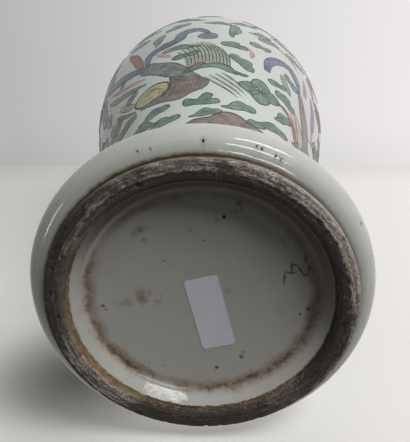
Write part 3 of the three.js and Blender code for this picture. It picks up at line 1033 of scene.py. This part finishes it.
def scene_side(middle, side):
    """One half of the painted body, with its phoenix, flower, ribbons and clouds."""
    for angle, z, length, height, lean, kind, flip in FRONT_CLOUDS:
        cloud(middle + side * angle, z, length, height, side * lean, kind, flip * side)
    phoenix(middle, side)
    flower(middle + side * 29, 147, 21, lean=4)
    for points, *rest in PLUMES + LOOSE_RIBBONS:
        ribbon(at(middle, side, points), *rest)


def ring_line(z, width, fill="line"):
    """A painted line right round the vase."""
    count = int(2 * pi * radius_at(z) / STROKE_PITCH)
    LAYERS[fill].stroke([(360 * k / count, z) for k in range(count)], width, closed=True)


def cloud_row(z, count, length, height, start=0.0, rise=4.0):
    """Clouds round the vase at about a height, each a little different."""
    for k in range(count):
        cloud(start + 360 * (k + HAND.uniform(-0.16, 0.16)) / count, z + HAND.uniform(-rise, rise),
              length * HAND.uniform(0.85, 1.12), height * HAND.uniform(0.85, 1.1), HAND.uniform(-24, 24),
              HAND.randrange(4), HAND.choice((-1, 1)))


# Shapes from side to side and from foot to top: two rocks, a stiff leaf and a hanging panel.
PEAKS = ((-1.0, 0.0), (-0.82, 0.36), (-0.6, 0.3), (-0.42, 0.72), (-0.16, 0.78), (0.0, 1.0),
         (0.26, 0.96), (0.4, 0.66), (0.62, 0.7), (0.8, 0.3), (1.0, 0.0))
BANK = ((-1.0, 0.0), (-0.95, 0.42), (-0.7, 0.7), (-0.36, 0.8), (-0.1, 0.98), (0.2, 1.0),
        (0.5, 0.86), (0.8, 0.78), (1.0, 0.4), (1.02, 0.0))
LEAF = ((-1, 0.0), (-0.98, 0.4), (-0.7, 0.72), (0, 1.0), (0.7, 0.72), (0.98, 0.4), (1, 0.0))
PANEL = ((-1, 0.0), (-0.95, -0.5), (-0.5, -0.7), (0, -1.0), (0.5, -0.7), (0.95, -0.5), (1, 0.0))


def sized(shape, angle, half, foot, height):
    """A shape at a place round the vase, that many degrees to each side and that high."""
    return [(angle + half * u, foot + height * v) for u, v in shape]


def rock(angle, spread, foot, top, fill="aubergine", shape=PEAKS):
    """A painted rock that rises from the border, with cracks."""
    painted(sized(shape, angle, spread, foot, top - foot), fill, 1.1, 0.5)
    for u, v in ((-0.5, 0.15), (-0.1, 0.3), (0.25, 0.2), (0.55, 0.2)):
        crack = ((u, v), (u + 0.08, v + 0.22), (u - 0.04, v + 0.4))
        draw(sized(crack, angle, spread, foot, top - foot), 0.8)


def leaf_band(count, foot, top):
    """Stiff upright leaves round the cove, green and yellow by turns."""
    h = top - foot
    for k in range(count):
        middle, half = 360 * k / count, 150 / count
        painted(sized(LEAF, middle, half, foot, h), ("green", "yellow")[k % 2], 0.8)
        draw([(middle, foot + 1), (middle, foot + h * 0.8)], 1.0)
        draw(sized(LEAF, middle, half * 0.55, foot, h * 0.72), 0.9, "red")


def fret_band(low, high, count, fill="red"):
    """A border of squared scrolls between two lines."""
    ring_line(low, 0.9)
    ring_line(high, 0.9)
    turns = ((0.0, 0.2), (0.0, 0.8), (0.8, 0.8), (0.8, 0.36), (0.36, 0.36), (0.36, 0.58))
    for k in range(count):
        line = sized(turns, 360 * k / count, 300 / count, low, high - low)
        dense = []
        for p, q in zip(line, line[1:]):
            dense += run((p, q), 4)[:-1]
        LAYERS[fill].stroke(dense + [line[-1]], 0.9, ends=(0.9, 0.9))


def diaper_band(low, high, count):
    """A netted green border with white panels that hold flowers."""
    middle, half = (low + high) / 2, (high - low) * 0.4
    slant = hypot(radius_at(high) - radius_at(low), high - low)
    ring_line(middle, slant, "pale_green")
    for z in (low, low + 1.8, high - 1.8, high):
        ring_line(z, 0.8)
    for k in range(count):
        for way in (-1, 1):
            a, reach = 360 * k / count, way * 540 / count
            draw([(a, low + 2), (a + reach, middle), (a + 2 * reach, high - 2)], 0.5, ends=(1, 1))
    circle = [(cos(2 * pi * i / 12), sin(2 * pi * i / 12)) for i in range(12)]
    for a in (45, 135, 225, 315):
        painted(sized(circle, a, 15, middle, half), "white", 1.0)
        flower(a, middle, 8.5, "pink", "yellow", 5)
        cloud(a - 8, middle - 1, 6, 4, 20, 1)
        cloud(a + 8, middle + 1, 6, 4, 10, 1, -1)


def lappets(count, high, drop, fill):
    """Hanging pointed panels under a line."""
    ring_line(high, 0.9)
    for k in range(count):
        a, half = 360 * (k + 0.5) / count, 165 / count
        painted(sized(PANEL, a, half, high, drop), fill, 0.8)
        draw(sized(PANEL, a, half * 0.5, high, drop * 0.6), 0.8, "yellow")


def spray(angle, z, size, side, fill="red"):
    """A flowering branch."""
    site = Site(angle, z, 0, side)
    share = size / 100
    for twig in (((-46, -60), (-20, -34), (-8, 0), (10, 30), (34, 56)), ((-8, 0), (-30, 14), (-42, 34)),
                 ((4, 20), (26, 12), (42, 18))):
        LAYERS["line"].stroke(site.line(twig, share, share), 0.7 + size / 60)
    for u, v, part in ((0, -6, 0.36), (34, 56, 0.3), (-42, 34, 0.26), (42, 18, 0.24)):
        flower(*site.place(u * share, v * share), size * part, fill, "yellow", 5, lean=12)
    for u, v, lean in ((-30, -34, 30), (-20, -48, -20), (16, 42, -10), (22, 4, 20), (-24, 4, 40)):
        cloud(*site.place(u * share, v * share), size * 0.2, size * 0.11, lean, 1, side)


# The painted bands from the foot up, in millimetres, and what stands in and between the scenes.
SCENE_LOW = 70.0
SCENE_HIGH = 296.0
GROUND = 70.5
LEAVES = (31.0, 54.0)
LOW_FRET = (60.5, 68.5)
DIAPER = (299.0, 320.0)
LAPPET_TOP = 349.0
LAPPET_DROP = 17.0
HIGH_FRET = (400.0, 407.0)
SIDE_CLOUDS = ((84, 168), (101, 226), (-84, 170), (-101, 228), (104, 172), (-104, 174))
ROCKS = ((-52, 13, 88, "green"), (62, 15, 92, "teal"), (104, 12, 86, "aubergine"),
         (150, 17, 100, "teal"), (196, 14, 92, "aubergine"), (240, 16, 96, "green"),
         (280, 12, 88, "aubergine"), (-20, 9, 84, "teal"))
CLOUD_ROWS = ((88, 9, 13, 6, -34, 3), (243, 17, 19, 9, 4, 4), (257, 16, 20, 8, 14, 3),
              (272, 17, 19, 8, 3, 3), (288, 15, 18, 8, 12, 3))


def decorate():
    """The whole painting: two scenes with sprays between them, and the borders above and below."""
    scene_side(0, 1)
    scene_side(180, -1)
    spray(93, 196, 66, 1, "red")
    spray(-93, 198, 66, -1, "pink")
    for angle, z in SIDE_CLOUDS:
        cloud(angle, z, 15, 8, HAND.uniform(-20, 20), HAND.randrange(4))
    leaf_band(20, *LEAVES)
    fret_band(*LOW_FRET, 40)
    rock(12, 27, GROUND, 107, "aubergine", BANK)
    for angle, spread, top, fill in ROCKS:
        rock(angle, spread, GROUND, top, fill)
    for row in CLOUD_ROWS:
        cloud_row(*row)
    for k in range(6):
        a = 60 * k + 22
        ribbon([(a, 262), (a + 6, 268), (a + 12, 267), (a + 16, 273), (a + 23, 276)], 4.2,
               ("blue", "red", "aubergine")[k % 3])
    diaper_band(*DIAPER, 72)
    lappets(16, LAPPET_TOP, LAPPET_DROP, "green")
    ring_line(LAPPET_TOP + 2, 0.8)
    for k in range(3):
        spray(120 * k, 377, 38, 1, ("red", "pink", "red")[k])
        cloud(120 * k + 60, 366, 15, 8, 12, k % 4)
        cloud(120 * k + 62, 384, 14, 7, -14, (k + 1) % 4)
    fret_band(*HIGH_FRET, 34)
    ring_line(HIGH_FRET[1] + 4, 0.8)


# The stage, the camera and the light, in millimetres in the vase's frame

TABLE_TILT = 0.0639
TABLE_FAR_EDGE = 477.0
TABLE_NEAR_EDGE = -150.0
TABLE_HALF_WIDTH = 360.0
TABLE_CLEARANCE = 0.3
TABLE_DUSK = 90.0
FLOOR_HALF_SIZE = 20000.0
SHADES_HALF_SPAN = 250.0

# The soft shade where the vase lies against the table.
CONTACT_PLACE = (-70.0, 78.0, 50.0)
CONTACT_REACH = 74.0
CONTACT_STRENGTH = 0.76


def pale_sheet(name, left, right, glow, contact=0.0, far_dusk=0.0):
    """A material for a stage sheet that only shows from its front; painted light makes it paler to the
    right, and painted shade darkens it near the vase and at its far edge by the given amounts.
    """
    m = Finish(name, Roughness=0.9, Specular_IOR_Level=0.0)
    # Painted light: the sheet is paler to the right, where the light falls.
    side_lit_shades = m.ramp(m.x, -SHADES_HALF_SPAN, SHADES_HALF_SPAN, left, right)
    near = m.add("VectorMath", m.mm, CONTACT_PLACE, out="Value", operation="DISTANCE")
    shade = m.rise(near, 0.0, CONTACT_REACH, 1 - contact, 1.0)
    dusk = m.rise(m.z, TABLE_FAR_EDGE - TABLE_DUSK, TABLE_FAR_EDGE, 1.0, 1 - far_dusk)
    dimmed = m.scaled(side_lit_shades, shade * dusk)
    m.fill(m.shader, Base_Color=m.scaled(dimmed, 1.1 - glow), Emission_Color=dimmed, Emission_Strength=glow)
    back, front = m.add("NewGeometry", out="Backfacing"), Value(m, m.shader.outputs[0])
    m.fill(m.tree.nodes["Material Output"], m.add("MixShader", back, front, m.add("BsdfTransparent")))
    return m.material


def stage_sheet(name, corners, material):
    """A flat sheet of the stage, seen by the camera only; it still takes the vase's shadow."""
    sheet = mesh_piece(name, corners, [(0, 1, 2, 3)], material)
    for ray in ("diffuse", "glossy", "transmission", "shadow"):
        setattr(sheet, "visible_" + ray, False)


def table_y(z):
    """The table's face beside the lying vase: it touches the moulding and the belly."""
    touch = RING_HEIGHT + MOULDING_HEIGHT / 2
    return FOOT_RADIUS + MOULDING_PROJECTION + TABLE_CLEARANCE + TABLE_TILT * (z - touch - 1)


def build_stage():
    """The pale table that the vase lies against, and a floor for the views that look down."""
    face = pale_sheet("table_face", colour(212, 212, 206), colour(250, 246, 242), 0.36,
                      CONTACT_STRENGTH, 0.1)
    w, near, far = TABLE_HALF_WIDTH, TABLE_NEAR_EDGE, TABLE_FAR_EDGE
    stage_sheet("table", [(-w, table_y(near), near), (w, table_y(near), near),
                          (w, table_y(far), far), (-w, table_y(far), far)], face)
    face = pale_sheet("floor_face", colour(222, 221, 218), colour(236, 234, 232), 0.25)
    f = FLOOR_HALF_SIZE
    stage_sheet("floor", [(-f, -f, 0.0), (f, -f, 0.0), (f, f, 0.0), (-f, f, 0.0)], face)


def build_world():
    """Soft light that is brighter from above and from the front right, and a pale wall to look at, painted
    paler to the right and a little darker towards +Y.
    """
    world = bpy.data.worlds.new("studio")
    world.use_nodes = True
    bpy.context.scene.world = world
    m = Nodes(world.node_tree)
    m.tree.nodes.clear()
    x, y, z = m.split(m.add("TexCoord", out="Generated"))
    # Painted light: the wall seen by the camera is paler to the right, where the light falls, and painted
    # shade makes it a little darker towards +Y.
    wall = m.ramp(x, -0.34, 0.32, colour(184, 184, 182), colour(239, 235, 236))
    wall = m.scaled(wall, m.rise(y, 0.24, 0.35, 1.0, 0.9))
    seen = m.mix(m.rise(z, -0.6, -0.3, kind="LINEAR"), (90, 88, 84), wall)
    lit = m.ramp(z, -0.5, 0.9, (0.03, 0.03, 0.028, 1), (0.42, 0.42, 0.43, 1))
    rays = (m.add("LightPath", out=f"Is {ray} Ray") for ray in ("Camera", "Glossy", "Transmission"))
    m.node("OutputWorld", m.add("Background", m.mix(m.most(*rays), lit, seen), 1.0))


def stand(thing, place, side, back):
    """Puts a lamp or the camera at a place, facing away from back, with side to its right."""
    bpy.context.scene.collection.objects.link(thing)
    place, up = place * MM, back.cross(side)
    thing.matrix_world = Matrix([(side[k], up[k], back[k], place[k]) for k in range(3)] + [(0, 0, 0, 1)])


def soft_lamp(name, way, distance, size, level, target=(0, 0, 150), along=(1, 0, 0.01), **seen_by):
    """A rectangular lamp in that direction from its target, facing it.
    A white surface that faces the lamp from the target shows it at that level."""
    data = bpy.data.lights.new(name, "AREA")
    data.shape = "RECTANGLE"
    data.size, data.size_y = size[0] * MM, size[1] * MM
    data.energy = level * (pi * distance * MM) ** 2
    lamp = bpy.data.objects.new(name, data)
    back, side = Vector(way).normalized(), Vector(along)
    stand(lamp, Vector(target) + back * distance, (side - back * side.dot(back)).normalized(), back)
    lamp.visible_camera = False
    for ray, seen in seen_by.items():
        setattr(lamp, "visible_" + ray, seen)


def build_lamps():
    foot = (0, 0, 20)
    soft_lamp("window", (0.45, -0.80, -0.37), 1300, (540, 460), 0.67, glossy=False)
    soft_lamp("overhead", (0.0, -0.2, 1.0), 1200, (700, 700), 0.28, glossy=False)
    soft_lamp("behind", (-0.1, 0.55, 0.83), 1300, (800, 800), 0.38, glossy=False)
    soft_lamp("reflector", (-0.42, 0.52, -0.74), 190, (140, 90), 0.12, (0, 30, 10), glossy=False)
    soft_lamp("tube", (0.47, -0.88, -0.04), 900, (460, 60), 0.24, foot, (0.44, 0.24, 0.13), diffuse=False)
    soft_lamp("low_tube", (0.26, -0.22, -0.93), 900, (320, 40), 0.12, foot, (0.3, 0.1, 0.05), diffuse=False)
    soft_lamp("pane", (0.38, -0.70, -0.61), 900, (430, 110), 0.2, foot, (0.42, 0.20, 0.05), diffuse=False)
    soft_lamp("left_pane", (-0.86, -0.05, -0.3), 900, (60, 240), 0.05, foot, (0.3, 0.0, -0.9), diffuse=False)


def build_camera():
    """The camera that was fitted to the photograph."""
    data = bpy.data.cameras.new("camera")
    data.sensor_width = SENSOR
    data.lens = FOCAL_PIXELS / PHOTO_LONG_SIDE * SENSOR
    data.clip_start = 0.01
    camera = bpy.data.objects.new("camera", data)
    back = (CAMERA_PLACE - CAMERA_TARGET).normalized()
    stand(camera, CAMERA_PLACE, CAMERA_UP.cross(back).normalized(), back)
    bpy.context.scene.camera = camera


own(lathe("glazed_wall", wall_section(), body_glaze()), "glaze",
    "lower_body", "upper_body", "shoulder", "neck",
    "foot_joint_slip", "middle_joint_slip", "belly_joint_slip", "neck_joint_slip")
own(lathe("turned_foot", foot_section(), foot_finish(), FOOT_STEPS, ring_wear), "biscuit", "foot_ring")
own(lathe("sunk_base", base_section(), base_finish()), "glaze", "base_slab")
own(paper_label(), "paper", "paper_label")
decorate()
lines = LAYERS.pop("line")
for layer_name, layer in LAYERS.items():
    layer.build("enamel_" + layer_name, enamel(layer_name))
dark_enamel = enamel("line")
lines.part(SCENE_LOW, SCENE_HIGH).build("enamel_scene_lines", dark_enamel)
lines.part(SCENE_LOW, SCENE_HIGH, within=False).build("enamel_border_lines", dark_enamel)
build_stage()
build_world()
build_lamps()
build_camera()
bpy.context.scene.view_settings.view_transform = "Standard"
